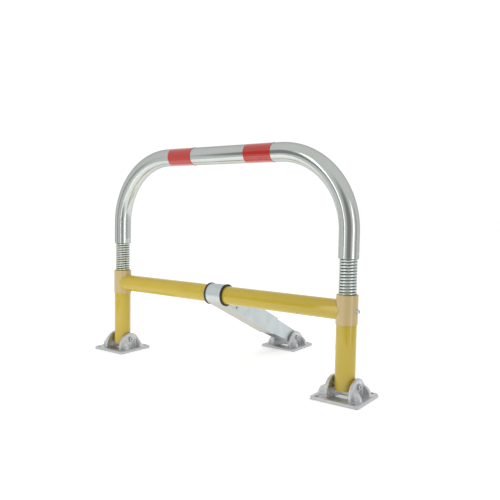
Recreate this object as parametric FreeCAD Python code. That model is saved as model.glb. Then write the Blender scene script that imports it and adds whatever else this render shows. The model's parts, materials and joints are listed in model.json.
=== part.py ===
import FreeCAD, Part
import math
import os

# A folding, sprung parking hoop: a steel hoop on two coil springs over a two-legged frame,
# which folds forward about two cast feet while a telescopic strut runs back to a third foot.
# Millimetres, +Z up, +X along the crossbar, +Y to the rear; the floor is Z = 0.

# Tubes
TUBE_OD = 48.3
TUBE_WALL = 2.0

# Hoop and frame
LEG_SPACING = 760.0
TOP_BAR_Z = 579.5
BEND_RADIUS = 191.0
HOOP_END_Z = 327.5
CROSSBAR_Z = 206.5
LEG_END_Z = 20.0
STRUT_REACH = 358.5

# Red bands on the top bar
BAND_CENTRE = 130.0
BAND_WIDTH = 82.0
BAND_FILM = 0.5
FILM_CLEARANCE = 0.15

# Crimp notches at the hoop's two ends
CRIMP_WIDTH = 12.0
CRIMP_HEIGHT = 13.0
CRIMP_DEPTH = 1.2

# Collars and their bolts
COLLAR_HEIGHT = 69.0
COLLAR_LIFT = 2.5
COLLAR_WALL = 1.6
COLLAR_CLEARANCE = 0.15
LEG_RIM_RISE = 1.2
COPE_GAP = 0.4
BOLT_DIAMETER = 6.0
BOLT_HOLE = 6.6
BOLT_HEAD_DIAMETER = 10.8
BOLT_HEAD_SIDE = 2.0
BOLT_HEAD_DOME = 4.6
BOLT_SOCKET = 4.0
BOLT_SOCKET_DEPTH = 2.0
CROSSBAR_PLUG_LENGTH = 36.0
THREAD_ENGAGEMENT = 20.0
THREAD_CLEARANCE = 0.05
PLUG_CLEARANCE = 0.15

# Coil springs with their seats and heads
SPRING_CLEARANCE = 0.4
SPRING_WIRE = 6.7
SPRING_PITCH = 7.0
SPRING_GROOVE = 2.3
SPRING_CREST = 2.6
SPRING_GRIP = 21.0
SEAT_BELOW_BOLT = 18.0
HEAD_LENGTH = 30.0
SPRING_END_GAP = 0.3
STUB_CLEARANCE = 0.6
STUB_SETBACK = 1.0

# Cast feet
PLATE_X = 123.0
PLATE_Y = 121.0
PLATE_THICKNESS = 7.5
PLATE_CORNER = 9.0
PLATE_EDGE = 1.5
LEG_SIDE_GAP = 1.85
LEG_FOLDED_GAP = 0.85
EAR_THICKNESS = 9.5
EAR_RADIUS = 40.0
EAR_CENTRE_Z = 11.6
EAR_EDGE = 2.0
GUSSET_THICKNESS = 9.0
GUSSET_Y = 26.0
GUSSET_RISE = 25.5
GUSSET_REACH = 20.0
GUSSET_EDGE = 2.5
RECESS_X = 48.0
RECESS_Y = 96.0
RECESS_CORNER = 6.0
WEB_THICKNESS = 3.5
WINDOW_X = 40.0
WINDOW_Y = 26.0
WINDOW_CORNER = 5.0
ANCHOR_MARGIN_X = 15.0
ANCHOR_MARGIN_Y = 11.0
ANCHOR_HOLE = 10.0

# Hinge pins: a tube clamped between the ears by a socket screw and a nut
PIVOT_OD = 14.0
RUNNING_CLEARANCE = 0.05
PIVOT_END_GAP = 0.1
SCREW_DIAMETER = 8.0
SCREW_HOLE = 8.6
SCREW_HEAD_DIAMETER = 13.0
SCREW_HEAD_HEIGHT = 5.0
SCREW_SOCKET = 5.0
SCREW_SOCKET_DEPTH = 3.0
SCREW_RECESS_DIAMETER = 14.0
SCREW_RECESS_DEPTH = 5.4
NUT_FLATS = 13.0
NUT_HEIGHT = 6.5
NUT_POCKET_DEPTH = 5.0
NUT_CLEARANCE = 0.2
SCREW_TIP = 1.0

# Telescopic strut
SHEET = 2.5
FOLD_RADIUS = 3.0
FOLD_INNER_RADIUS = 1.75
SLEEVE_LENGTH = 275.0
SLEEVE_LIP = 9.0
SLEEVE_LIP_DROP = 3.6
SLEEVE_WALL_GAP = 0.8
STRAP_SETBACK = 2.0
BUSH_WALL = 1.0
BUSH_FIT = 0.1
BUSH_FLANGE_LIP = 1.7
BUSH_FLANGE_THICKNESS = 4.0
BUSH_MIDDLE_GAP = 1.0
SLIDE_CLEARANCE = 0.5
SLIDE_SIDE_GAP = 2.0
SLIDE_ROOM = 13.2
SLIDE_START = 72.0
SLIDE_STEP_GAP = 2.5
SLIDE_STEP_RUN = 7.0
SLIDE_BELLY = 5.0
SLIDE_END_DROP = 1.2
LOCK_HOLE = 6.0
LOCK_HOLE_ALONG = 58.7
LOCK_HOLE_BELOW = 15.8

# How far a cutter runs past a face, how far joined solids overlap, and what counts as level
OVERRUN = 1.0
LEVEL = 1e-6

# Worked out from the sizes above
TUBE_R = TUBE_OD/2
BORE_R = TUBE_R - TUBE_WALL
LEG_X = LEG_SPACING/2
PIN_Z = PLATE_THICKNESS + TUBE_R + LEG_FOLDED_GAP
HOOP_Y = -STRUT_REACH/2
REAR_Y = STRUT_REACH/2
COLLAR_INNER_R = TUBE_R + COLLAR_CLEARANCE
COLLAR_R = COLLAR_INNER_R + COLLAR_WALL
COLLAR_TOP_Z = CROSSBAR_Z + COLLAR_LIFT + COLLAR_HEIGHT/2
COLLAR_BOTTOM_Z = COLLAR_TOP_Z - COLLAR_HEIGHT
LEG_TOP_Z = COLLAR_TOP_Z + LEG_RIM_RISE
PLUG_R = BORE_R - PLUG_CLEARANCE
SPRING_R = BORE_R - SPRING_CLEARANCE
SPRING_BOTTOM_Z = LEG_TOP_Z - SPRING_GRIP
SPRING_TOP_Z = HOOP_END_Z + SPRING_GRIP
STUB_R = SPRING_R - SPRING_WIRE - STUB_CLEARANCE
EAR_GAP = TUBE_OD + 2*LEG_SIDE_GAP
EAR_OUTER = EAR_GAP/2 + EAR_THICKNESS
ANCHOR_X = PLATE_X - 2*ANCHOR_MARGIN_X
ANCHOR_Y = PLATE_Y - 2*ANCHOR_MARGIN_Y
STRUT_RISE = CROSSBAR_Z - PIN_Z
STRUT_LENGTH = math.hypot(STRUT_REACH, STRUT_RISE)
STRUT_SLOPE = math.degrees(math.atan2(STRUT_RISE, STRUT_REACH))
BUSH_INNER_R = TUBE_R + RUNNING_CLEARANCE
BUSH_R = BUSH_INNER_R + BUSH_WALL
STRAP_INNER_R = BUSH_R + BUSH_FIT
STRAP_R = STRAP_INNER_R + SHEET
BUSH_FLANGE_R = STRAP_R + BUSH_FLANGE_LIP
SLIDE_WIDTH = EAR_GAP - 2*SLIDE_SIDE_GAP
SLEEVE_WIDTH = SLIDE_WIDTH + 2*SLIDE_CLEARANCE + 2*SHEET
STRAP_WIDTH = SLEEVE_WIDTH - 2*STRAP_SETBACK
SLEEVE_FLOOR = -STRAP_R
SLEEVE_TOP = STRAP_R - SLEEVE_LIP_DROP
SLEEVE_MOUTH_R = BUSH_FLANGE_R + SLEEVE_WALL_GAP
SLIDE_TOP = SLEEVE_TOP - SHEET - SLIDE_CLEARANCE
SLIDE_SHALLOW = SLEEVE_FLOOR + SHEET + SLIDE_ROOM
SLIDE_END_RADIUS = SLIDE_TOP - SLIDE_END_DROP
SLIDE_DEEP = -SLIDE_END_RADIUS - SLIDE_BELLY

X_AXIS = FreeCAD.Vector(1, 0, 0)
Y_AXIS = FreeCAD.Vector(0, 1, 0)
Z_AXIS = FreeCAD.Vector(0, 0, 1)


def vec(x, y, z):
    return FreeCAD.Vector(x, y, z)


def along_x(radius, x0, x1, y, z):
    """A cylinder from x0 to x1 about the line through y and z."""
    return Part.makeCylinder(radius, x1 - x0, vec(x0, y, z), X_AXIS)


def along_z(radius, z0, z1, x, y):
    """A cylinder from z0 to z1 about the line through x and y."""
    return Part.makeCylinder(radius, z1 - z0, vec(x, y, z0), Z_AXIS)


def box(x0, x1, y0, y1, z0, z1):
    return Part.makeBox(x1 - x0, y1 - y0, z1 - z0, vec(x0, y0, z0))


def moved(shape, x=0.0, y=0.0, z=0.0):
    copy = shape.copy()
    copy.translate(vec(x, y, z))
    return copy


def mirrored(shape):
    """The same piece on the other side of the middle plane."""
    return shape.mirror(vec(0, 0, 0), X_AXIS)


def face_of(edges):
    return Part.Face(Part.Wire(edges))


def polygon(points):
    return Part.Face(Part.makePolygon(points + points[:1]))


def rounded_block(size_x, size_y, z0, z1, corner):
    """A block about the Z axis with rounded upright edges."""
    block = box(-size_x/2, size_x/2, -size_y/2, size_y/2, z0, z1)
    upright = [e for e in block.Edges if abs(e.tangentAt(e.FirstParameter).z) > 0.9]
    return block.makeFillet(corner, upright)


def hexagon_along_x(flats, x0, x1, y, z):
    corner = flats/math.sqrt(3)
    turns = [math.radians(60*i + 30) for i in range(6)]
    points = [vec(x0, y + corner*math.cos(a), z + corner*math.sin(a)) for a in turns]
    return polygon(points).extrude(vec(x1 - x0, 0, 0))


def hoop_path():
    """Centre line of the hoop: up one side, round both bends and down the other."""
    turn = BEND_RADIUS*math.sqrt(0.5)
    side = TOP_BAR_Z - BEND_RADIUS
    inner = LEG_X - BEND_RADIUS
    left_foot = vec(-LEG_X, HOOP_Y, HOOP_END_Z)
    left_low = vec(-LEG_X, HOOP_Y, side)
    left_mid = vec(-inner - turn, HOOP_Y, side + turn)
    left_high = vec(-inner, HOOP_Y, TOP_BAR_Z)
    right_high = vec(inner, HOOP_Y, TOP_BAR_Z)
    right_mid = vec(inner + turn, HOOP_Y, side + turn)
    right_low = vec(LEG_X, HOOP_Y, side)
    right_foot = vec(LEG_X, HOOP_Y, HOOP_END_Z)
    edges = [
        Part.LineSegment(left_foot, left_low).toShape(),
        Part.Arc(left_low, left_mid, left_high).toShape(),
        Part.LineSegment(left_high, right_high).toShape(),
        Part.Arc(right_high, right_mid, right_low).toShape(),
        Part.LineSegment(right_low, right_foot).toShape(),
    ]
    return Part.Wire(edges)


def crimp_notches(x):
    """The two notches pressed into one end of the hoop, on its left and right sides."""
    height = CRIMP_HEIGHT - CRIMP_WIDTH/2
    reach = TUBE_R + OVERRUN
    notches = []
    for side in (-1, 1):
        x0, x1 = sorted((x + side*(TUBE_R - CRIMP_DEPTH), x + side*reach))
        low = HOOP_END_Z - OVERRUN
        slot = box(x0, x1, HOOP_Y - CRIMP_WIDTH/2, HOOP_Y + CRIMP_WIDTH/2, low, HOOP_END_Z + height)
        notches.append(slot.fuse(along_x(CRIMP_WIDTH/2, x0, x1, HOOP_Y, HOOP_END_Z + height)))
    return notches


def hoop_tube():
    path = hoop_path()
    start = vec(-LEG_X, HOOP_Y, HOOP_END_Z)
    outside = path.makePipe(Part.Face(Part.Wire(Part.makeCircle(TUBE_R, start, Z_AXIS))))
    inside = path.makePipe(Part.Face(Part.Wire(Part.makeCircle(BORE_R, start, Z_AXIS))))
    return outside.cut(inside).cut(crimp_notches(-LEG_X) + crimp_notches(LEG_X))


def red_band():
    """The band on the right; it is wrapped round the top bar."""
    inner = TUBE_R + FILM_CLEARANCE
    x0 = BAND_CENTRE - BAND_WIDTH/2
    x1 = BAND_CENTRE + BAND_WIDTH/2
    outside = along_x(inner + BAND_FILM, x0, x1, HOOP_Y, TOP_BAR_Z)
    return outside.cut(along_x(inner, x0, x1, HOOP_Y, TOP_BAR_Z))


def coil_spring():
    """Close-wound coil on the right side, from the seat in the leg to the head in the hoop."""
    length = SPRING_TOP_Z - SPRING_BOTTOM_Z
    coils = round(length/SPRING_PITCH)
    pitch = length/coils
    root = SPRING_R - SPRING_GROOVE
    bore = SPRING_R - SPRING_WIRE
    points = [vec(bore, 0, SPRING_BOTTOM_Z), vec(root, 0, SPRING_BOTTOM_Z)]
    for i in range(coils):
        middle = SPRING_BOTTOM_Z + (i + 0.5)*pitch
        points.append(vec(SPRING_R, 0, middle - SPRING_CREST/2))
        points.append(vec(SPRING_R, 0, middle + SPRING_CREST/2))
        points.append(vec(root, 0, middle + pitch/2))
    points.append(vec(bore, 0, SPRING_TOP_Z))
    coil = polygon(points).revolve(vec(0, 0, 0), Z_AXIS, 360)
    return moved(coil, LEG_X, HOOP_Y)


def spring_seat():
    """Plug in the right leg that carries the spring; the collar bolt crosses it."""
    shoulder = SPRING_BOTTOM_Z - SPRING_END_GAP
    plug = along_z(PLUG_R, CROSSBAR_Z - SEAT_BELOW_BOLT, shoulder, LEG_X, HOOP_Y)
    stub = along_z(STUB_R, shoulder - OVERRUN, LEG_TOP_Z - STUB_SETBACK, LEG_X, HOOP_Y)
    return plug.fuse(stub).removeSplitter().cut(collar_bolt_hole(BOLT_HOLE/2))


def spring_head():
    """Plug in the right end of the hoop that backs the crimped coils."""
    shoulder = SPRING_TOP_Z + SPRING_END_GAP
    plug = along_z(PLUG_R, shoulder, shoulder + HEAD_LENGTH, LEG_X, HOOP_Y)
    stub = along_z(STUB_R, HOOP_END_Z + STUB_SETBACK, shoulder + OVERRUN, LEG_X, HOOP_Y)
    return plug.fuse(stub).removeSplitter()


def collar_bolt_hole(radius):
    reach = COLLAR_R + OVERRUN
    return along_x(radius, LEG_X - reach, LEG_X + reach, HOOP_Y, CROSSBAR_Z)


def collar():
    outside = along_z(COLLAR_R, COLLAR_BOTTOM_Z, COLLAR_TOP_Z, LEG_X, HOOP_Y)
    inside = along_z(COLLAR_INNER_R, COLLAR_BOTTOM_Z, COLLAR_TOP_Z, LEG_X, HOOP_Y)
    return outside.cut(inside).cut(collar_bolt_hole(BOLT_HOLE/2))


def leg():
    """Right leg: a tube with the hinge hole near its foot and the bolt hole under its rim."""
    tube = along_z(TUBE_R, LEG_END_Z, LEG_TOP_Z, LEG_X, HOOP_Y)
    tube = tube.cut(along_z(BORE_R, LEG_END_Z, LEG_TOP_Z, LEG_X, HOOP_Y))
    hinge = along_x(PIVOT_OD/2 + RUNNING_CLEARANCE, LEG_X - TUBE_OD, LEG_X + TUBE_OD, HOOP_Y, PIN_Z)
    return tube.cut([hinge, collar_bolt_hole(BOLT_HOLE/2)])


def cope(x):
    """What the collar takes out of the crossbar's end."""
    return along_z(COLLAR_R + COPE_GAP, CROSSBAR_Z - TUBE_OD, CROSSBAR_Z + TUBE_OD, x, HOOP_Y)


def crossbar():
    bar = along_x(TUBE_R, -LEG_X, LEG_X, HOOP_Y, CROSSBAR_Z)
    bar = bar.cut(along_x(BORE_R, -LEG_X, LEG_X, HOOP_Y, CROSSBAR_Z))
    return bar.cut([cope(-LEG_X), cope(LEG_X)])


def crossbar_plug():
    """Threaded plug in the right end of the crossbar."""
    inner = LEG_X - COLLAR_R - CROSSBAR_PLUG_LENGTH
    plug = along_x(PLUG_R, inner, LEG_X, HOOP_Y, CROSSBAR_Z).cut(cope(LEG_X))
    return plug.cut(along_x(BOLT_DIAMETER/2 + THREAD_CLEARANCE, inner, LEG_X, HOOP_Y, CROSSBAR_Z))


def collar_bolt():
    """Dome-head bolt through the right collar, leg and spring seat into the crossbar."""
    seat = LEG_X + COLLAR_R
    rim = seat + BOLT_HEAD_SIDE
    top = rim + BOLT_HEAD_DOME
    curve = (BOLT_HEAD_DIAMETER**2/4 + BOLT_HEAD_DOME**2)/(2*BOLT_HEAD_DOME)
    dome = Part.makeSphere(curve, vec(top - curve, HOOP_Y, CROSSBAR_Z))
    dome = dome.common(along_x(BOLT_HEAD_DIAMETER, rim, top, HOOP_Y, CROSSBAR_Z))
    side = along_x(BOLT_HEAD_DIAMETER/2, seat, rim, HOOP_Y, CROSSBAR_Z)
    tip = LEG_X - COLLAR_R - THREAD_ENGAGEMENT
    shank = along_x(BOLT_DIAMETER/2, tip, rim, HOOP_Y, CROSSBAR_Z)
    socket = hexagon_along_x(BOLT_SOCKET, top - BOLT_SOCKET_DEPTH, top + OVERRUN, HOOP_Y, CROSSBAR_Z)
    return dome.fuse([side, shank]).removeSplitter().cut(socket)


def ear():
    """Right-hand ear of a foot: a thick plate with a round top, its outer edges softened."""
    x = EAR_GAP/2
    left = vec(x, -EAR_RADIUS, EAR_CENTRE_Z)
    right = vec(x, EAR_RADIUS, EAR_CENTRE_Z)
    low_left = vec(x, -EAR_RADIUS, PLATE_THICKNESS/2)
    low_right = vec(x, EAR_RADIUS, PLATE_THICKNESS/2)
    outline = face_of([
        Part.LineSegment(low_left, left).toShape(),
        Part.Arc(left, vec(x, 0, EAR_CENTRE_Z + EAR_RADIUS), right).toShape(),
        Part.LineSegment(right, low_right).toShape(),
        Part.LineSegment(low_right, low_left).toShape(),
    ])
    plate = outline.extrude(vec(EAR_THICKNESS, 0, 0))
    rims = [e for e in plate.Edges if e.BoundBox.XLength < LEVEL and e.BoundBox.ZLength > LEVEL]
    return plate.makeChamfer(EAR_EDGE, rims)


def gusset(y):
    """A rounded rib between the right-hand ear's outer face and the plate."""
    x = EAR_OUTER - EAR_EDGE
    base = PLATE_THICKNESS/2
    rise = PLATE_THICKNESS + GUSSET_RISE
    reach = EAR_OUTER + GUSSET_REACH
    half = math.sqrt(0.5)
    mid = vec(x + (reach - x)*half, y, base + (rise - base)*half)
    outline = face_of([
        Part.LineSegment(vec(x, y, base), vec(x, y, rise)).toShape(),
        Part.Arc(vec(x, y, rise), mid, vec(reach, y, base)).toShape(),
        Part.LineSegment(vec(reach, y, base), vec(x, y, base)).toShape(),
    ])
    rib = moved(outline, y=-GUSSET_THICKNESS/2).extrude(vec(0, GUSSET_THICKNESS, 0))
    rims = [e for e in rib.Edges if e.BoundBox.YLength < LEVEL and type(e.Curve) is Part.Circle]
    return rib.makeChamfer(GUSSET_EDGE, rims)


def foot():
    """One casting about the hinge line over the origin, hollowed and open between its ears."""
    plate = rounded_block(PLATE_X, PLATE_Y, 0, PLATE_THICKNESS, PLATE_CORNER)
    rim = [e for e in plate.Edges if e.BoundBox.ZMin > PLATE_THICKNESS - LEVEL]
    plate = plate.makeChamfer(PLATE_EDGE, rim)
    side = [ear(), gusset(-GUSSET_Y), gusset(GUSSET_Y)]
    body = plate.fuse(side + [mirrored(piece) for piece in side]).removeSplitter()
    outside = EAR_OUTER + OVERRUN
    top = PLATE_THICKNESS + OVERRUN
    cuts = [
        rounded_block(RECESS_X, RECESS_Y, WEB_THICKNESS, top, RECESS_CORNER),
        rounded_block(WINDOW_X, WINDOW_Y, -OVERRUN, top, WINDOW_CORNER),
        along_x(SCREW_HOLE/2, -outside, outside, 0, PIN_Z),
        along_x(SCREW_RECESS_DIAMETER/2, EAR_OUTER - SCREW_RECESS_DEPTH, outside, 0, PIN_Z),
        hexagon_along_x(NUT_FLATS + 2*NUT_CLEARANCE, -outside, NUT_POCKET_DEPTH - EAR_OUTER, 0, PIN_Z),
    ]
    for x in (-ANCHOR_X/2, ANCHOR_X/2):
        for y in (-ANCHOR_Y/2, ANCHOR_Y/2):
            cuts.append(along_z(ANCHOR_HOLE/2, -OVERRUN, top, x, y))
    return body.cut(cuts)


def pivot_tube():
    half = EAR_GAP/2 - PIVOT_END_GAP
    return along_x(PIVOT_OD/2, -half, half, 0, PIN_Z).cut(along_x(SCREW_HOLE/2, -half, half, 0, PIN_Z))


def hinge_screw():
    """Socket screw whose head lies in the right-hand ear's recess."""
    seat = EAR_OUTER - SCREW_RECESS_DEPTH
    top = seat + SCREW_HEAD_HEIGHT
    tip = NUT_POCKET_DEPTH - EAR_OUTER - NUT_HEIGHT - SCREW_TIP
    head = along_x(SCREW_HEAD_DIAMETER/2, seat, top, 0, PIN_Z)
    screw = head.fuse(along_x(SCREW_DIAMETER/2, tip, seat + OVERRUN, 0, PIN_Z)).removeSplitter()
    return screw.cut(hexagon_along_x(SCREW_SOCKET, top - SCREW_SOCKET_DEPTH, top + OVERRUN, 0, PIN_Z))


def hinge_nut():
    seat = NUT_POCKET_DEPTH - EAR_OUTER
    nut = hexagon_along_x(NUT_FLATS, seat - NUT_HEIGHT, seat, 0, PIN_Z)
    return nut.cut(along_x(SCREW_DIAMETER/2 + THREAD_CLEARANCE, seat - NUT_HEIGHT, seat, 0, PIN_Z))


def on_strut(shape):
    """From the strut's own frame, Y along it from the crossbar, to its place at rest."""
    place = FreeCAD.Placement(vec(0, HOOP_Y, CROSSBAR_Z), FreeCAD.Rotation(X_AXIS, -STRUT_SLOPE))
    return shape.transformed(place.toMatrix(), True)


def sleeve_section(y):
    """Cross-section of the outer channel: a floor, two walls and two lips, with round folds."""
    half = SLEEVE_WIDTH/2
    low = SLEEVE_FLOOR
    high = SLEEVE_TOP
    mouth = half - SLEEVE_LIP
    outer = rounded_frame(half, low, high, FOLD_RADIUS, y)
    inner = rounded_frame(half - SHEET, low + SHEET, high - SHEET, FOLD_INNER_RADIUS, y)
    slot_start = vec(-mouth, y, high - SHEET - OVERRUN)
    slot = Part.makePlane(2*mouth, SHEET + 2*OVERRUN, slot_start, -Y_AXIS, X_AXIS)
    return outer.cut(inner).cut(slot)


def rounded_frame(half, low, high, radius, y):
    """A rectangle with round corners in the plane across the strut at y."""
    block = box(-half, half, y, y + OVERRUN, low, high)
    along = [e for e in block.Edges if abs(e.tangentAt(e.FirstParameter).y) > 0.9]
    rounded = block.makeFillet(radius, along)
    return [f for f in rounded.Faces if f.BoundBox.YMax < y + LEVEL][0]


def strut_sleeve():
    """The outer channel, cut round the bushes' flanges; its floor runs on as a strap round the crossbar."""
    channel = sleeve_section(0.0).extrude(vec(0, SLEEVE_LENGTH, 0))
    channel = channel.cut(along_x(SLEEVE_MOUTH_R, -SLEEVE_WIDTH, SLEEVE_WIDTH, 0, 0))
    half = STRAP_WIDTH/2
    strap = along_x(STRAP_R, -half, half, 0, 0)
    web = box(-half, half, 0, SLEEVE_MOUTH_R, SLEEVE_FLOOR, SLEEVE_FLOOR + SHEET)
    body = strap.fuse([web, channel]).cut(along_x(STRAP_INNER_R, -half, half, 0, 0))
    lock = along_x(LOCK_HOLE/2, -SLEEVE_WIDTH, SLEEVE_WIDTH, LOCK_HOLE_ALONG, -LOCK_HOLE_BELOW)
    return on_strut(body.removeSplitter().cut(lock))


def pivot_bush():
    """Right half of the flanged bush between the strap and the crossbar."""
    flange_start = STRAP_WIDTH/2
    end = flange_start + BUSH_FLANGE_THICKNESS
    barrel = along_x(BUSH_R, BUSH_MIDDLE_GAP/2, end, HOOP_Y, CROSSBAR_Z)
    flange = along_x(BUSH_FLANGE_R, flange_start, end, HOOP_Y, CROSSBAR_Z)
    return barrel.fuse(flange).removeSplitter().cut(along_x(BUSH_INNER_R, 0, end, HOOP_Y, CROSSBAR_Z))


def slide_wall(x):
    """Outline of the inner channel's side: shallow inside the sleeve, deep outside, round at the pin."""
    step = SLEEVE_LENGTH + SLIDE_STEP_GAP
    end = STRUT_LENGTH
    radius = SLIDE_END_RADIUS
    belly = [(end, -radius), (step + SLIDE_STEP_RUN, SLIDE_DEEP), (step, SLIDE_SHALLOW)]
    inner_end = [(SLIDE_START, SLIDE_SHALLOW), (SLIDE_START, SLIDE_TOP)]
    outline = belly + inner_end + [(end, SLIDE_TOP), (end, radius)]
    points = [vec(x, y, z) for y, z in outline]
    edges = [Part.LineSegment(a, b).toShape() for a, b in zip(points, points[1:])]
    edges.append(Part.Arc(points[-1], vec(x, end + radius, 0), points[0]).toShape())
    return face_of(edges)


def strut_slide():
    """The inner channel: a top and two side walls, open below, turning on the rear pivot tube."""
    half = SLIDE_WIDTH/2
    walls = [slide_wall(x).extrude(vec(SHEET, 0, 0)) for x in (-half, half - SHEET)]
    top = box(-half, half, SLIDE_START, STRUT_LENGTH, SLIDE_TOP - SHEET, SLIDE_TOP)
    body = walls[0].fuse([walls[1], top]).removeSplitter()
    long_folds = [e for e in body.Edges if abs(abs(e.CenterOfMass.x) - half) < LEVEL
                  and abs(e.CenterOfMass.z - SLIDE_TOP) < LEVEL and e.BoundBox.YLength > SHEET]
    body = body.makeFillet(FOLD_RADIUS, long_folds)
    pivot = along_x(PIVOT_OD/2 + RUNNING_CLEARANCE, -half - OVERRUN, half + OVERRUN, STRUT_LENGTH, 0)
    return on_strut(body.cut(pivot))


def build():
    nodes = {"hoop_tube": hoop_tube(), "crossbar": crossbar()}
    paired = {
        "red_band": red_band(),
        "spring_seat": spring_seat(),
        "spring_head": spring_head(),
        "collar": collar(),
        "collar_bolt": collar_bolt(),
        "crossbar_plug": crossbar_plug(),
        "leg": leg(),
        "pivot_bush": pivot_bush(),
    }
    for name, shape in paired.items():
        nodes["right_" + name] = shape
        nodes["left_" + name] = mirrored(shape)
    hinge = {
        "foot": foot(),
        "pivot_tube": pivot_tube(),
        "hinge_screw": hinge_screw(),
        "hinge_nut": hinge_nut(),
    }
    places = {"left": (-LEG_X, HOOP_Y), "right": (LEG_X, HOOP_Y), "rear": (0.0, REAR_Y)}
    for side, (x, y) in places.items():
        for name, shape in hinge.items():
            nodes[side + "_" + name] = moved(shape, x, y)
    nodes["right_spring"] = coil_spring()
    nodes["left_spring"] = moved(nodes["right_spring"], x=-LEG_SPACING)
    nodes["strut_sleeve"] = strut_sleeve()
    nodes["strut_slide"] = strut_slide()
    return nodes


os.makedirs("parts", exist_ok=True)
for node, shape in build().items():
    solid = shape.Solids[0] if len(shape.Solids) == 1 else shape
    if not solid.isValid() or len(shape.Solids) != 1:
        raise ValueError(node + " is not one valid solid")
    solid.exportStep("parts/" + node + ".step")
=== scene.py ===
import json
import math

import bpy
from mathutils import Matrix, Vector


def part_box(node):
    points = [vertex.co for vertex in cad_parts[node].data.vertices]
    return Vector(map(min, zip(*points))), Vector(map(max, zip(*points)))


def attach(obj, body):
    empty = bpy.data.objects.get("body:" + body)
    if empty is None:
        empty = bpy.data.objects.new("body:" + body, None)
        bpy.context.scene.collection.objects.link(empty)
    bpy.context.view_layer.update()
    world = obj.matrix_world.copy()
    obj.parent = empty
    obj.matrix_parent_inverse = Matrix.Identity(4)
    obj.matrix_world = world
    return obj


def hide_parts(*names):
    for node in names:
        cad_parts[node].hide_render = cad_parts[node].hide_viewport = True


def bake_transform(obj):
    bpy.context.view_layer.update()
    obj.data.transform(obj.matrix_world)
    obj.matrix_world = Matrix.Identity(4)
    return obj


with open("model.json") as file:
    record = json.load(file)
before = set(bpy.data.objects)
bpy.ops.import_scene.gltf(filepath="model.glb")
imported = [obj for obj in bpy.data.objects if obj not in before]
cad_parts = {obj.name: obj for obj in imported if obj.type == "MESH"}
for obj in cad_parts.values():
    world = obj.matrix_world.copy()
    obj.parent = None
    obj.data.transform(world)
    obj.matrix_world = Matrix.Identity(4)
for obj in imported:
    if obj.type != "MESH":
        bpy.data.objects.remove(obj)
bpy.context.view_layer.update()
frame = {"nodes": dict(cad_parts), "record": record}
nodes = frame["nodes"]
scene = bpy.context.scene

# Camera, as the photo was taken: degrees, metres, and pixels of a square image
IMAGE_PX = 500
FOCAL_PX = 569.1
PRINCIPAL_PX = 0.5
CAMERA_AZIMUTH = 35.43
CAMERA_ELEVATION = 3.92
CAMERA_ROLL = 1.07
CAMERA_DISTANCE = 1.472
AIM_X = 0.1023
AIM_Z = 0.3306
SENSOR_MM = 36.0

# Hoop
BEND_RADIUS = 0.191
TUBE_WALL = 0.0020
TUBE_SEGMENTS = 112
STRAIGHT_STEPS = 12
TOP_STEPS = 16
BEND_STEPS = 56
END_STEPS = 24
END_LENGTH = 0.018
CRIMP_WIDTH = 0.012
CRIMP_HEIGHT = 0.013
CRIMP_DEPTH = 0.0012
CRIMP_RIDGE = 0.0005
CRIMP_RIDGE_PITCH = 0.0036
EDGE_SOFTNESS = 0.0012

# Springs
WIRE_DIAMETER = 0.0067
COIL_PITCH = 0.0070
COIL_SEGMENTS = 60
WIRE_SEGMENTS = 16

# Castings
VOXEL = 0.0009
CAST_SMOOTHING = 2
CAST_LUMP = 0.0003
CAST_LUMP_SIZE = 0.012
CAST_LUMP_OCTAVES = 2

# Heads of the hinge screws
HEAD_RISE = 0.0055
HEAD_CHAMFER = 0.0008
HEAD_SOCKET = 0.0060
HEAD_SOCKET_DEPTH = 0.0040
HEAD_SEGMENTS = 48

# Finishes. Colours are linear red, green and blue, and scales of noise are per metre.
# A ROUGH pair is the least and the most roughness that a noise gives, a SPAN is where a change
# starts and ends, and a BUMP is its strength and its depth in metres.
NOISE_SPAN = (0.3, 0.7)
NOISE_MIDDLE = (0.5, 0.5, 0.5)
METAL_RIM = (0.6, 0.6, 0.6, 1.0)

# The colour sockets of Blender's Mix node, by number because their names repeat
MIX_FIRST = 6
MIX_SECOND = 7
MIX_RESULT = 2

# Galvanised tube
TUBE_BRIGHT = (0.62, 0.662, 0.644)
TUBE_WARM = (0.61, 0.64, 0.60)
TUBE_ROUGH_LEFT = 0.20
TUBE_ROUGH_RIGHT = 0.11
TUBE_ROUGH_END_X = 0.05
DRAW_LINES = (6.0, 700.0, 1.0)
MOTTLE_SCALE = 18.0
MOTTLE_SPAN = (0.35, 0.75)
MOTTLE_ROUGH = (-0.01, 0.02)
SPANGLE_SCALE = 240.0
SPANGLE_SHARE = 0.35
TUBE_BUMP = (0.003, 0.0001)

# Spring wire
WIRE_BRIGHT = (0.64, 0.70, 0.69)
WIRE_YELLOWED = (0.63, 0.63, 0.50)
# Painted shade in the grooves between the coils
WIRE_GROOVE_SHADE = (0.16, 0.18, 0.19)
WIRE_ROUGH = (0.15, 0.22)
WIRE_PATCH_SCALE = 55.0
WIRE_PATCH_SPAN = (0.40, 0.68)
WIRE_LEAST_YELLOW = 0.1
WIRE_RIGHT_YELLOW = 0.3
WIRE_GRAIN_SCALE = 900.0
WIRE_BUMP = (0.08, 0.0002)
# Where the painted shade between the coils starts and ends, by the cosine of the angle round the wire
GROOVE_SHADE_SPAN = (0.45, 0.80)

# Paint
YELLOW = (0.57, 0.425, 0.038)
YELLOW_DEEP = (0.55, 0.405, 0.034)
YELLOW_ROUGHNESS = 0.08
CREAM = (0.60, 0.465, 0.225)
CREAM_DEEP = (0.575, 0.445, 0.21)
CREAM_ROUGHNESS = 0.07
PAINT_IOR = 1.62
PAINT_ROUGH_SWING = 0.01
PAINT_UNEVEN_SCALE = 12.0
PAINT_PEEL_SCALE = 420.0
PAINT_GRAIN_SCALE = 1500.0
PAINT_GRAIN_SHARE = 0.25
PAINT_BUMP = (0.006, 0.0001)

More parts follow.
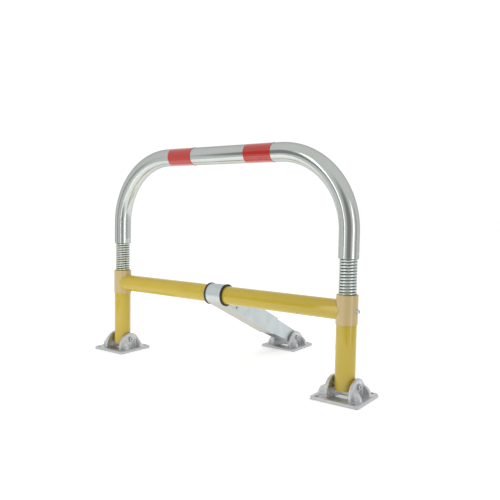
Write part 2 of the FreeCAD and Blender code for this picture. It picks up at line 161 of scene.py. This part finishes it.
# Paint chips: (distance along the tube from its lower or left end, degrees round it, size)
CHIPS = {
    "crossbar": [(0.6254, 235.0, 0.0034), (0.6602, 241.0, 0.0034), (0.6797, 234.0, 0.0026)],
    "left_leg": [(0.1275, 15.0, 0.0020), (0.0363, 354.0, 0.0022)],
}
CHIP_STEEL = (0.10, 0.09, 0.07)
CHIP_ROUGHNESS = 0.3
CHIP_RAGGED_SCALE = 900.0
CHIP_RAGGED_SHARE = 2.2
CHIP_CORE = 0.55
CHIP_RIM = 0.75

# Red film
RED = (0.51, 0.016, 0.006)
RED_DEEP = (0.49, 0.014, 0.005)
RED_ROUGH = (0.10, 0.13)
RED_IOR = 1.52
RED_COAT_ROUGHNESS = 0.06
RED_RIPPLES = (10.0, 60.0, 60.0)
RED_UNEVEN_SCALE = 45.0
RED_BUMP = (0.01, 0.0003)

# Cast aluminium
CAST_PALE = (0.67, 0.68, 0.69)
CAST_STAIN = (0.55, 0.56, 0.57)
# Painted shade in the hollows
CAST_HOLLOW_SHADE = (0.30, 0.30, 0.30)
# Painted highlight on the ridges
CAST_RIDGE_HIGHLIGHT = (0.72, 0.73, 0.74)
# Painted shade on the plates' edges near the floor
CAST_PLATE_EDGE_SHADE = (0.53, 0.55, 0.56)
CAST_METALLIC = 0.85
CAST_ROUGH = (0.32, 0.5)
CAST_GRAIN_SCALE = 650.0
CAST_GRAIN_SHARE = 0.4
CAST_SKIN_SCALE = 130.0
CAST_STAIN_SCALE = 150.0
CAST_NOISE_DETAIL = 4.0
CAST_NOISE_ROUGHNESS = 0.6
CAST_STAIN_SPAN = (0.35, 0.7)
CAST_HOLLOW_SHADE_SPAN = (0.40, 0.49)
CAST_RIDGE_HIGHLIGHT_SPAN = (0.51, 0.58)
CAST_PLATE_SHADE_SPAN = (0.005, 0.008)
CAST_BUMP = (0.3, 0.0012)

# Zinc plating
SHEET = (0.63, 0.69, 0.69)
SHEET_CLOUD = (0.59, 0.66, 0.67)
# Painted warm reflection of the floor on faces that look down
SHEET_UNDERSIDE_REFLECTION = (0.66, 0.645, 0.60)
SHEET_ROUGHNESS = 0.30
FASTENER = (0.60, 0.65, 0.67)
FASTENER_CLOUD = (0.50, 0.55, 0.57)
# Painted shade on faces that look down
FASTENER_UNDERSIDE_SHADE = (0.55, 0.60, 0.62)
FASTENER_ROUGHNESS = 0.08
ZINC_METALLIC = 0.7
ZINC_CLOUD_SCALE = 28.0
ZINC_CLOUD_SPAN = (0.35, 0.68)
ZINC_CLOUD_ROUGHNESS = 0.12
ZINC_GRAIN = (500.0, 90.0, 500.0)
ZINC_GRAIN_ROUGHNESS = 0.06
# Where the painted light and shade on down-facing faces starts and ends, by the normal's height
ZINC_UNDERSIDE_SHADING_SPAN = (-0.7, -0.4)
ZINC_BUMP = (0.05, 0.0003)

# Black plastic
BLACK = (0.018, 0.018, 0.019, 1.0)
BLACK_ROUGH = (0.38, 0.55)
BLACK_GRAIN_SCALE = 800.0
BLACK_BUMP = (0.1, 0.0002)

# Floor
FLOOR_NEAR = 0.75
FLOOR_NEAR_HALF = 0.55
FLOOR_FAR = 25.0
FLOOR_FAR_HALF = 16.0
FLOOR_GLOW = 0.38
FLOOR_ALBEDO = 0.85
FLOOR_ROUGHNESS = 0.8
FLOOR_SPECULAR = 0.2
WINDOW_SHARE = 0.36

# Studio: levels are brightness, radii are degrees, and a squeeze under 1 makes a patch taller than wide
SIDES = 0.74
CEILING = 0.76
CEILING_FULL = 25.0
CEILING_FADING = 65.0
BACKDROP = 1.03
BACKDROP_FULL = 36.5
BACKDROP_FADING = 41.0
BACKDROP_SQUEEZE = 1.4
DARK = 0.27
DIM = 0.46
STREAK = 2.2
HIGH = 0.75
TALL = 0.4
SLIM = 0.25
# Patches level with the object: (degrees from the front, full radius, fading radius, squeeze, level)
PATCHES = [
    (25.0, 10.0, 34.0, HIGH, DARK),
    (-33.0, 5.0, 9.0, TALL, DARK),
    (106.0, 7.0, 13.0, TALL, DIM),
    (75.0, 5.0, 9.0, SLIM, STREAK),
]

# Lights: metres and watts
OVERHEAD_HEIGHT = 2.6
OVERHEAD_SIZE = 2.4
OVERHEAD_POWER = 9.0
STRIP_X = -0.10
STRIP_Y = -1.13
STRIP_Z = 0.5
STRIP_WIDTH = 0.17
STRIP_HEIGHT = 1.1
STRIP_POWER = 1.0
FILL_X = -0.5
FILL_Y = -1.0
FILL_Z = 0.15
FILL_SIZE = 0.4
FILL_POWER = 1.2


def centre(node):
    low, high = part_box(node)
    return (low + high)/2


leg_low, leg_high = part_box("right_leg")
tube_r = (leg_high.x - leg_low.x)/2
leg_x = centre("right_leg").x
hoop_y = centre("right_leg").y
hoop_low, hoop_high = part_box("hoop_tube")
top_z = hoop_high.z - tube_r
hoop_end_z = hoop_low.z


def add(tree, kind, inputs=None, **settings):
    """A shader node; each input is a number, a colour or another node's socket."""
    node = tree.nodes.new("ShaderNode" + kind)
    for name, value in settings.items():
        setattr(node, name, value)
    for name, value in (inputs or {}).items():
        if isinstance(value, bpy.types.NodeSocket):
            tree.links.new(value, node.inputs[name])
        else:
            node.inputs[name].default_value = value
    return node


def material(name):
    made = bpy.data.materials.new(name)
    made.use_nodes = True
    tree = made.node_tree
    return made, tree, tree.nodes["Principled BSDF"]


def noise(tree, vector, scale=1.0, detail=3.0, roughness=0.55):
    inputs = {"Vector": vector, "Scale": scale, "Detail": detail, "Roughness": roughness}
    return add(tree, "TexNoise", inputs).outputs["Fac"]


def ramp(tree, value, low, high, start, end):
    """value from start to end becomes low to high, smoothly."""
    inputs = {"Value": value, "From Min": start, "From Max": end, "To Min": low, "To Max": high}
    return add(tree, "MapRange", inputs, interpolation_type="SMOOTHSTEP").outputs["Result"]


def spread(tree, value, low, high):
    """A noise becomes low to high over the span where most of it lies."""
    return ramp(tree, value, low, high, *NOISE_SPAN)


def math_node(tree, operation, a, b=0.0):
    return add(tree, "Math", {0: a, 1: b}, operation=operation).outputs[0]


def vector_math(tree, operation, *values, output="Vector"):
    return add(tree, "VectorMath", dict(enumerate(values)), operation=operation).outputs[output]


def component(tree, vector, axis):
    return add(tree, "SeparateXYZ", {"Vector": vector}).outputs[axis]


def mix(tree, share, a, b):
    made = add(tree, "Mix", {"Factor": share}, data_type="RGBA")
    for socket, value in ((made.inputs[MIX_FIRST], a), (made.inputs[MIX_SECOND], b)):
        if isinstance(value, bpy.types.NodeSocket):
            tree.links.new(value, socket)
        else:
            socket.default_value = (*value, 1.0)
    return made.outputs[MIX_RESULT]


def stretched(tree, vector, x, y, z):
    return add(tree, "Mapping", {"Vector": vector, "Scale": (x, y, z)}).outputs["Vector"]


def bump(tree, shader, height, strength, depth):
    made = add(tree, "Bump", {"Height": height, "Strength": strength, "Distance": depth})
    tree.links.new(made.outputs["Normal"], shader.inputs["Normal"])


def put(tree, shader, **values):
    """Sets the shader's inputs, named with underscores for spaces."""
    for name, value in values.items():
        socket = shader.inputs[name.replace("_", " ")]
        if isinstance(value, bpy.types.NodeSocket):
            tree.links.new(value, socket)
        else:
            socket.default_value = value


def object_coords(tree):
    return add(tree, "TexCoord").outputs["Object"]


def tube_coords(tree):
    """The coordinates of a swept piece, along it and round it."""
    return add(tree, "UVMap", uv_map="tube").outputs["UV"]


def galvanised_tube():
    """Bright drawn tube: long fine draw lines, faint mottling, duller towards the left bend."""
    made, tree, shader = material("galvanised_tube")
    place = object_coords(tree)
    lines = noise(tree, stretched(tree, tube_coords(tree), *DRAW_LINES), detail=4.0)
    mottle = noise(tree, place, MOTTLE_SCALE, detail=2.0)
    spangle = noise(tree, place, SPANGLE_SCALE, detail=2.0)
    x = component(tree, place, "X")
    dull = ramp(tree, x, TUBE_ROUGH_LEFT, TUBE_ROUGH_RIGHT, -leg_x, TUBE_ROUGH_END_X)
    rough = math_node(tree, "ADD", dull, spread(tree, mottle, *MOTTLE_ROUGH))
    tint = mix(tree, ramp(tree, mottle, 0.0, 1.0, *MOTTLE_SPAN), TUBE_BRIGHT, TUBE_WARM)
    put(tree, shader, Base_Color=tint, Metallic=1.0, Roughness=rough, Specular_Tint=METAL_RIM)
    height = math_node(tree, "ADD", lines, math_node(tree, "MULTIPLY", spangle, SPANGLE_SHARE))
    bump(tree, shader, height, *TUBE_BUMP)
    return made


def spring_wire():
    """Zinc-plated wire with a yellowish cast in patches, most on the left, and painted shade in the grooves
    between the coils.
    """
    made, tree, shader = material("spring_wire")
    place = object_coords(tree)
    grain = noise(tree, place, WIRE_GRAIN_SCALE, detail=2.0)
    patches = ramp(tree, noise(tree, place, WIRE_PATCH_SCALE), WIRE_LEAST_YELLOW, 1.0, *WIRE_PATCH_SPAN)
    leftward = ramp(tree, component(tree, place, "X"), 1.0, WIRE_RIGHT_YELLOW, -leg_x, leg_x)
    tint = mix(tree, math_node(tree, "MULTIPLY", patches, leftward), WIRE_BRIGHT, WIRE_YELLOWED)
    outward = math_node(tree, "COSINE", component(tree, tube_coords(tree), "Y"))
    # Painted shade: the wire darkens away from its outward-facing crest, towards the grooves between the
    # coils
    tint = mix(tree, ramp(tree, outward, 1.0, 0.0, *GROOVE_SHADE_SPAN), tint, WIRE_GROOVE_SHADE)
    put(tree, shader, Base_Color=tint, Metallic=1.0, Roughness=spread(tree, grain, *WIRE_ROUGH))
    bump(tree, shader, grain, *WIRE_BUMP)
    return made


def chip_mask(tree, place, points):
    """1 inside ragged spots round the given (point, size) pairs."""
    inputs = {"Vector": place, "Scale": CHIP_RAGGED_SCALE, "Detail": 2.0}
    ragged = add(tree, "TexNoise", inputs).outputs["Color"]
    centred = vector_math(tree, "SUBTRACT", ragged, NOISE_MIDDLE)
    total = 0.0
    for point, size in points:
        shift = add(tree, "VectorMath", {0: centred, "Scale": CHIP_RAGGED_SHARE*size}, operation="SCALE")
        moved = vector_math(tree, "ADD", place, shift.outputs["Vector"])
        away = vector_math(tree, "DISTANCE", moved, point, output="Value")
        spot = ramp(tree, away, 1.0, 0.0, CHIP_CORE*size, CHIP_RIM*size)
        total = math_node(tree, "MAXIMUM", spot, total)
    return total


def paint(name, colour, deep, roughness, chips=()):
    """Sprayed paint: slight orange peel, faint unevenness, and chips down to grey steel."""
    made, tree, shader = material(name)
    place = object_coords(tree)
    uneven = noise(tree, place, PAINT_UNEVEN_SCALE, detail=2.0)
    peel = noise(tree, place, PAINT_PEEL_SCALE, detail=2.0)
    grain = noise(tree, place, PAINT_GRAIN_SCALE, detail=1.0)
    tint = mix(tree, spread(tree, uneven, 0.0, 1.0), colour, deep)
    rough = spread(tree, uneven, roughness - PAINT_ROUGH_SWING, roughness + PAINT_ROUGH_SWING)
    if chips:
        mask = chip_mask(tree, place, chips)
        tint = mix(tree, mask, tint, CHIP_STEEL)
        rough = math_node(tree, "ADD", rough, math_node(tree, "MULTIPLY", mask, CHIP_ROUGHNESS))
    put(tree, shader, Base_Color=tint, Roughness=rough, IOR=PAINT_IOR)
    height = math_node(tree, "ADD", peel, math_node(tree, "MULTIPLY", grain, PAINT_GRAIN_SHARE))
    bump(tree, shader, height, *PAINT_BUMP)
    return made


def red_film():
    """Glossy film with faint ripples along the tube."""
    made, tree, shader = material("red_film")
    place = object_coords(tree)
    ripples = noise(tree, stretched(tree, place, *RED_RIPPLES), detail=2.0)
    uneven = noise(tree, place, RED_UNEVEN_SCALE)
    tint = mix(tree, spread(tree, uneven, 0.0, 1.0), RED, RED_DEEP)
    put(tree, shader, Base_Color=tint, Roughness=spread(tree, ripples, *RED_ROUGH), IOR=RED_IOR,
        Coat_Weight=1.0, Coat_Roughness=RED_COAT_ROUGHNESS)
    bump(tree, shader, ripples, *RED_BUMP)
    return made


def cast_aluminium():
    """Raw casting: grainy stained skin, painted shade in the hollows, painted highlights on the ridges and
    painted shade on the lower edges of the plates.
    """
    made, tree, shader = material("cast_aluminium")
    place = object_coords(tree)
    grain = noise(tree, place, CAST_GRAIN_SCALE, CAST_NOISE_DETAIL, CAST_NOISE_ROUGHNESS)
    skin = noise(tree, place, CAST_SKIN_SCALE, CAST_NOISE_DETAIL, CAST_NOISE_ROUGHNESS)
    stains = noise(tree, place, CAST_STAIN_SCALE, CAST_NOISE_DETAIL, CAST_NOISE_ROUGHNESS)
    edges = add(tree, "NewGeometry").outputs["Pointiness"]
    height = component(tree, place, "Z")
    tint = mix(tree, ramp(tree, stains, 0.0, 1.0, *CAST_STAIN_SPAN), CAST_PALE, CAST_STAIN)
    # Painted shade in the hollows, where pointiness is low
    tint = mix(tree, ramp(tree, edges, 1.0, 0.0, *CAST_HOLLOW_SHADE_SPAN), tint, CAST_HOLLOW_SHADE)
    # Painted highlight on the ridges, where pointiness is high
    tint = mix(tree, ramp(tree, edges, 0.0, 1.0, *CAST_RIDGE_HIGHLIGHT_SPAN), tint, CAST_RIDGE_HIGHLIGHT)
    # Painted shade on the lowest few millimetres of the plates
    tint = mix(tree, ramp(tree, height, 1.0, 0.0, *CAST_PLATE_SHADE_SPAN), tint, CAST_PLATE_EDGE_SHADE)
    put(tree, shader, Base_Color=tint, Metallic=CAST_METALLIC, Roughness=spread(tree, skin, *CAST_ROUGH))
    relief = math_node(tree, "ADD", math_node(tree, "MULTIPLY", grain, CAST_GRAIN_SHARE), skin)
    bump(tree, shader, relief, *CAST_BUMP)
    return made


def zinc(name, colour, cloud, underside_shading, roughness):
    """Zinc plating: cloudy patches, fine sheet grain, and painted light and shade on faces that look down.
    """
    made, tree, shader = material(name)
    place = object_coords(tree)
    clouds = noise(tree, place, ZINC_CLOUD_SCALE, detail=4.0)
    grain = noise(tree, stretched(tree, place, *ZINC_GRAIN))
    up = component(tree, add(tree, "TexCoord").outputs["Normal"], "Z")
    tint = mix(tree, ramp(tree, clouds, 0.0, 1.0, *ZINC_CLOUD_SPAN), colour, cloud)
    # Painted light and shade on faces that look down
    tint = mix(tree, ramp(tree, up, 1.0, 0.0, *ZINC_UNDERSIDE_SHADING_SPAN), tint, underside_shading)
    cloudy = spread(tree, clouds, roughness, roughness + ZINC_CLOUD_ROUGHNESS)
    rough = math_node(tree, "ADD", cloudy, math_node(tree, "MULTIPLY", grain, ZINC_GRAIN_ROUGHNESS))
    put(tree, shader, Base_Color=tint, Metallic=ZINC_METALLIC, Roughness=rough, Specular_Tint=METAL_RIM)
    bump(tree, shader, grain, *ZINC_BUMP)
    return made


def black_plastic():
    made, tree, shader = material("black_plastic")
    grain = noise(tree, object_coords(tree), BLACK_GRAIN_SCALE, detail=2.0)
    put(tree, shader, Base_Color=BLACK, Roughness=spread(tree, grain, *BLACK_ROUGH))
    bump(tree, shader, grain, *BLACK_BUMP)
    return made


def chip_points(node):
    """Where the chips lie on a painted tube, from the distance along it and the angle round it."""
    low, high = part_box(node)
    mid = (low + high)/2
    points = []
    for along, angle, size in CHIPS[node]:
        turn = math.radians(angle)
        if node == "crossbar":
            point = Vector((low.x + along, mid.y + tube_r*math.cos(turn), mid.z + tube_r*math.sin(turn)))
        else:
            point = Vector((mid.x + tube_r*math.sin(turn), mid.y - tube_r*math.cos(turn), low.z + along))
        points.append((point, size))
    return points


chips = chip_points("crossbar") + chip_points("left_leg")
finishes = {
    "galvanised_tube": galvanised_tube(),
    "yellow_paint": paint("yellow_paint", YELLOW, YELLOW_DEEP, YELLOW_ROUGHNESS, chips),
    "cream_paint": paint("cream_paint", CREAM, CREAM_DEEP, CREAM_ROUGHNESS),
    "red_film": red_film(),
    "cast_aluminium": cast_aluminium(),
    "zinc_sheet": zinc("zinc_sheet", SHEET, SHEET_CLOUD, SHEET_UNDERSIDE_REFLECTION, SHEET_ROUGHNESS),
    "spring_wire": spring_wire(),
    "zinc_fastener": zinc("zinc_fastener", FASTENER, FASTENER_CLOUD, FASTENER_UNDERSIDE_SHADE, FASTENER_ROUGHNESS),
    "black_plastic": black_plastic(),
}
for subpart in frame["record"]["subparts"]:
    mesh = nodes[subpart["node"]].data
    mesh.materials.clear()
    mesh.materials.append(finishes[subpart["material_slot"]])


def piece(name, mesh, slot, *replaced):
    """A new object with the finish of one of the record's slots; it stands for the CAD nodes named."""
    mesh.name = name
    mesh.materials.clear()
    mesh.materials.append(finishes[slot])
    mesh.shade_smooth()
    made = bpy.data.objects.new(name, mesh)
    scene.collection.objects.link(made)
    if replaced:
        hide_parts(*replaced)
    return made


def turns(count):
    """The angles of a full turn in equal steps."""
    return [2*math.pi*j/count for j in range(count)]


def grid_mesh(name, rows, uv):
    """A mesh over rows of points, each row closed round; uv gives each row's and column's place."""
    count = len(rows[0])
    points = [p for row in rows for p in row]
    faces = []
    corners = []
    for i in range(len(rows) - 1):
        for j in range(count):
            k = (j + 1) % count
            faces.append((i*count + j, i*count + k, (i + 1)*count + k, (i + 1)*count + j))
            corners += [(i, j), (i, j + 1), (i + 1, j + 1), (i + 1, j)]
    mesh = bpy.data.meshes.new(name)
    mesh.from_pydata(points, [], faces)
    layer = mesh.uv_layers.new(name="tube")
    for loop, (i, j) in zip(layer.data, corners):
        loop.uv = uv(i, j)
    return mesh


def hoop_stations():
    """(point, outward direction) down the hoop's centre line, from its left end to its right end."""
    left = Vector((-1, 0, 0))
    right = Vector((1, 0, 0))
    up = Vector((0, 0, 1))
    knee_z = hoop_end_z + END_LENGTH
    side_z = top_z - BEND_RADIUS
    inner = leg_x - BEND_RADIUS
    stations = []

    def at(x, z):
        return Vector((x, hoop_y, z))

    def straight(start, end, outward, steps):
        for i in range(steps):
            stations.append((start.lerp(end, i/steps), outward))

    def bend(middle, start_angle):
        for i in range(BEND_STEPS):
            turn = math.radians(start_angle - 90.0*i/BEND_STEPS)
            outward = Vector((math.cos(turn), 0.0, math.sin(turn)))
            stations.append((middle + BEND_RADIUS*outward, outward))

    straight(at(-leg_x, hoop_end_z), at(-leg_x, knee_z), left, END_STEPS)
    straight(at(-leg_x, knee_z), at(-leg_x, side_z), left, STRAIGHT_STEPS)
    bend(at(-inner, side_z), 180.0)
    straight(at(-inner, top_z), at(inner, top_z), up, TOP_STEPS)
    bend(at(inner, side_z), 90.0)
    straight(at(leg_x, side_z), at(leg_x, knee_z), right, STRAIGHT_STEPS)
    straight(at(leg_x, knee_z), at(leg_x, hoop_end_z), right, END_STEPS)
    stations.append((at(leg_x, hoop_end_z), right))
    return stations


def soft_step(value, edge):
    """0 below -edge, 1 above edge, smooth between."""
    share = min(max((value + edge)/(2*edge), 0.0), 1.0)
    return share*share*(3 - 2*share)


def crimp(z, across):
    """How deep the notch is at a height above the hoop's end and a distance across from its middle."""
    inside = soft_step(CRIMP_HEIGHT - z, EDGE_SOFTNESS)*soft_step(CRIMP_WIDTH/2 - abs(across), EDGE_SOFTNESS)
    ridge = 0.5 - 0.5*math.cos(2*math.pi*z/CRIMP_RIDGE_PITCH)
    return inside*(CRIMP_DEPTH - CRIMP_RIDGE*ridge)


def hoop():
    """The bent tube, swept with a run of coordinates along it; its ends are pressed into the springs."""
    stations = hoop_stations()
    lengths = [0.0]
    for (before, _), (point, _) in zip(stations, stations[1:]):
        lengths.append(lengths[-1] + (point - before).length)
    skin = []
    bore = []
    for point, outward in stations:
        skin_row = []
        bore_row = []
        for turn in turns(TUBE_SEGMENTS):
            spoke = math.cos(turn)*outward + math.sin(turn)*Vector((0, 1, 0))
            notch = crimp(point.z - hoop_end_z, tube_r*math.sin(turn))
            skin_row.append(point + (tube_r - notch)*spoke)
            bore_row.append(point + (tube_r - TUBE_WALL)*spoke)
        skin.append(skin_row)
        bore.append(bore_row)
    rows = skin + bore[::-1] + skin[:1]
    along = lengths + lengths[::-1] + lengths[:1]
    mesh = grid_mesh("hoop", rows, lambda i, j: (along[i], 2*math.pi*tube_r*j/TUBE_SEGMENTS))
    made = piece("hoop", mesh, "galvanised_tube", "hoop_tube")
    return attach(made, "hoop")


def spring(node):
    """A close-wound helix in place of the CAD node's ringed sleeve."""
    low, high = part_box(node)
    mid = (low + high)/2
    wire_r = WIRE_DIAMETER/2
    mean_r = (high.x - low.x)/2 - wire_r
    bottom = low.z + wire_r
    length = high.z - low.z - WIRE_DIAMETER
    steps = round(length/COIL_PITCH*COIL_SEGMENTS)
    rise = COIL_PITCH/(2*math.pi)
    lean = math.hypot(mean_r, rise)
    coil = []
    for i in range(steps + 1):
        turn = 2*math.pi*i/COIL_SEGMENTS
        outward = Vector((math.cos(turn), math.sin(turn), 0))
        upward = Vector((rise*math.sin(turn), -rise*math.cos(turn), mean_r))/lean
        point = Vector((mid.x, mid.y, bottom + length*i/steps)) + mean_r*outward
        spokes = [math.cos(a)*outward + math.sin(a)*upward for a in turns(WIRE_SEGMENTS)]
        coil.append([point + wire_r*spoke for spoke in spokes])
    first, last = ([sum(row, Vector())/WIRE_SEGMENTS]*WIRE_SEGMENTS for row in (coil[0], coil[-1]))
    rows = [first] + coil + [last]
    mesh = grid_mesh(node, rows, lambda i, j: (i/COIL_SEGMENTS, 2*math.pi*j/WIRE_SEGMENTS))
    made = piece(node + "_coil", mesh, "spring_wire", node)
    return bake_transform(made)


def casting(node):
    """The CAD foot with the soft edges and uneven skin of a sand casting, kept inside the CAD foot's box."""
    low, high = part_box(node)
    work = bpy.data.objects.new(node + "_work", nodes[node].data.copy())
    scene.collection.objects.link(work)
    remesh = work.modifiers.new("skin", "REMESH")
    remesh.mode = "VOXEL"
    remesh.voxel_size = VOXEL
    smooth = work.modifiers.new("soften", "SMOOTH")
    smooth.iterations = CAST_SMOOTHING
    lumps = bpy.data.textures.new(node + "_lumps", "CLOUDS")
    lumps.noise_scale = CAST_LUMP_SIZE
    lumps.noise_depth = CAST_LUMP_OCTAVES
    displace = work.modifiers.new("lumps", "DISPLACE")
    displace.texture = lumps
    displace.texture_coords = "LOCAL"
    displace.strength = CAST_LUMP
    displace.mid_level = 1.0
    bpy.context.view_layer.update()
    made = bpy.data.meshes.new_from_object(work.evaluated_get(bpy.context.evaluated_depsgraph_get()))
    bpy.data.objects.remove(work)
    for vertex in made.vertices:
        for axis in range(3):
            vertex.co[axis] = min(max(vertex.co[axis], low[axis]), high[axis])
    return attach(piece(node + "_casting", made, "cast_aluminium", node), "feet")


def screw_head(node):
    """The part of a hinge screw's head that stands out of the ear, with its hexagon socket."""
    low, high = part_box(node)
    mid = (low + high)/2
    radius = (high.z - low.z)/2
    top = high.x + HEAD_RISE
    angles = turns(HEAD_SEGMENTS)
    sixth = math.pi/3
    hexagon = [HEAD_SOCKET/2/math.cos(t % sixth - sixth/2) for t in angles]
    profile = [
        (high.x, [radius]*HEAD_SEGMENTS),
        (top - HEAD_CHAMFER, [radius]*HEAD_SEGMENTS),
        (top, [radius - HEAD_CHAMFER]*HEAD_SEGMENTS),
        (top, hexagon),
        (top - HEAD_SOCKET_DEPTH, hexagon),
        (top - HEAD_SOCKET_DEPTH, [0.0]*HEAD_SEGMENTS),
    ]
    rows = []
    for x, radii in profile:
        polar = zip(radii, angles)
        rows.append([Vector((x, mid.y + r*math.cos(t), mid.z + r*math.sin(t))) for r, t in polar])
    mesh = grid_mesh(node, rows, lambda i, j: (rows[i][0].x, radius*angles[j % HEAD_SEGMENTS]))
    made = piece(node + "_head", mesh, "zinc_fastener")
    made.data.shade_flat()
    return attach(made, "feet")


hoop()
for side in ("left", "right"):
    spring(side + "_spring")
for side in ("left", "right", "rear"):
    casting(side + "_foot")
    screw_head(side + "_hinge_screw")


# Stage: a lit white floor and a soft studio, bright behind the object and dark behind the camera
def direction(azimuth, elevation):
    """Unit vector from the object towards a place in the studio, degrees from the front."""
    turn = math.radians(azimuth)
    tilt = math.radians(elevation)
    return Vector((math.sin(turn)*math.cos(tilt), -math.cos(turn)*math.cos(tilt), math.sin(tilt)))


def box_mask(tree, place, middle, half):
    """1 inside an upright box, 0 outside it."""
    away = vector_math(tree, "SUBTRACT", place, middle)
    share = vector_math(tree, "ABSOLUTE", vector_math(tree, "DIVIDE", away, half))
    furthest = math_node(tree, "MAXIMUM", component(tree, share, "X"), component(tree, share, "Y"))
    return math_node(tree, "LESS_THAN", furthest, 1.0)


def floor_paper():
    """White paper that glows, but not under the feet, which paints shade under the plates, apart from the
    window in each foot's plate.
    """
    made, tree, shader = material("floor")
    place = add(tree, "NewGeometry").outputs["Position"]
    shaded_under_plates = 0.0
    for side in ("left", "right", "rear"):
        low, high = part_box(side + "_foot")
        half = (high - low)/2
        plate = box_mask(tree, place, centre(side + "_foot"), half)
        window = box_mask(tree, place, centre(side + "_foot"), WINDOW_SHARE*half)
        shaded_under_plates = math_node(tree, "MAXIMUM", math_node(tree, "SUBTRACT", plate, window), shaded_under_plates)
    # No glow under the plates: painted shade under the feet
    glow = math_node(tree, "MULTIPLY", math_node(tree, "SUBTRACT", 1.0, shaded_under_plates), FLOOR_GLOW)
    put(tree, shader, Base_Color=(FLOOR_ALBEDO,)*3 + (1.0,), Roughness=FLOOR_ROUGHNESS,
        Specular_IOR_Level=FLOOR_SPECULAR, Emission_Color=(1.0, 1.0, 1.0, 1.0), Emission_Strength=glow)
    return made


def floor():
    """A sheet that widens from near the picture's lower edge to far behind the object."""
    away = -direction(CAMERA_AZIMUTH, 0.0)
    across = direction(CAMERA_AZIMUTH + 90.0, 0.0)
    near = Vector((AIM_X, hoop_y, 0.0)) - FLOOR_NEAR*away
    far = near + FLOOR_FAR*away
    corners = [near - FLOOR_NEAR_HALF*across, near + FLOOR_NEAR_HALF*across,
               far + FLOOR_FAR_HALF*across, far - FLOOR_FAR_HALF*across]
    mesh = bpy.data.meshes.new("floor")
    mesh.from_pydata(corners, [], [(0, 1, 2, 3)])
    mesh.materials.append(floor_paper())
    plane = bpy.data.objects.new("floor", mesh)
    scene.collection.objects.link(plane)


def angle_mask(tree, towards, place, full, fading, squeeze):
    """1 within the full radius of a place, 0 beyond the fading radius; squeeze divides its height."""
    squeezed = vector_math(tree, "NORMALIZE", stretched(tree, towards, 1.0, 1.0, squeeze))
    facing = vector_math(tree, "DOT_PRODUCT", squeezed, place, output="Value")
    return ramp(tree, facing, 0.0, 1.0, math.cos(math.radians(fading)), math.cos(math.radians(full)))


def room():
    """Grey sides, a ceiling, a bright backdrop behind the object, and patches that the metal reflects."""
    overhead = direction(0.0, 90.0)
    behind = direction(CAMERA_AZIMUTH + 180.0, 0.0)
    layers = [
        (overhead, CEILING_FULL, CEILING_FADING, 1.0, CEILING),
        (behind, BACKDROP_FULL, BACKDROP_FADING, BACKDROP_SQUEEZE, BACKDROP),
    ]
    for azimuth, *patch in PATCHES:
        layers.append((direction(azimuth, 0.0), *patch))
    world = bpy.data.worlds.new("room")
    world.use_nodes = True
    tree = world.node_tree
    towards = add(tree, "TexCoord").outputs["Generated"]
    shade = (SIDES,)*3
    for place, full, fading, squeeze, level in layers:
        shade = mix(tree, angle_mask(tree, towards, place, full, fading, squeeze), shade, (level,)*3)
    tree.links.new(shade, tree.nodes["Background"].inputs["Color"])
    scene.world = world


def area_light(name, place, aim, width, height, power):
    light = bpy.data.lights.new(name, "AREA")
    light.shape = "RECTANGLE"
    light.size = width
    light.size_y = height
    light.energy = power
    lamp = bpy.data.objects.new(name, light)
    turn = (place - aim).to_track_quat("Z", "Y").to_matrix().to_4x4()
    lamp.matrix_world = Matrix.Translation(place) @ turn
    scene.collection.objects.link(lamp)
    return lamp


def lights():
    """A strip that the metal reflects, and two lights that don't show in reflections."""
    above = Vector((0.0, 0.0, OVERHEAD_HEIGHT))
    front = Vector((STRIP_X, STRIP_Y, STRIP_Z))
    low_left = Vector((FILL_X, FILL_Y, FILL_Z))
    overhead = area_light("overhead", above, Vector(), OVERHEAD_SIZE, OVERHEAD_SIZE, OVERHEAD_POWER)
    area_light("strip", front, Vector((0.0, hoop_y, STRIP_Z)), STRIP_WIDTH, STRIP_HEIGHT, STRIP_POWER)
    fill = area_light("fill", low_left, centre("left_leg"), FILL_SIZE, FILL_SIZE, FILL_POWER)
    overhead.visible_glossy = False
    fill.visible_glossy = False


def camera():
    lens = bpy.data.cameras.new("camera")
    lens.sensor_width = SENSOR_MM
    lens.lens = FOCAL_PX/IMAGE_PX*SENSOR_MM
    lens.shift_x = -PRINCIPAL_PX/IMAGE_PX
    lens.shift_y = PRINCIPAL_PX/IMAGE_PX
    lens.clip_end = 2*FLOOR_FAR
    lens.dof.use_dof = False
    eye = bpy.data.objects.new("camera", lens)
    aim = Vector((AIM_X, hoop_y, AIM_Z))
    turn = Matrix.Rotation(math.radians(CAMERA_AZIMUTH), 4, "Z")
    tilt = Matrix.Rotation(math.radians(90.0 - CAMERA_ELEVATION), 4, "X")
    roll = Matrix.Rotation(math.radians(CAMERA_ROLL), 4, "Z")
    back = direction(CAMERA_AZIMUTH, CAMERA_ELEVATION)
    eye.matrix_world = Matrix.Translation(aim + CAMERA_DISTANCE*back) @ turn @ tilt @ roll
    scene.collection.objects.link(eye)
    scene.camera = eye


floor()
room()
lights()
camera()
scene.view_settings.view_transform = "Standard"
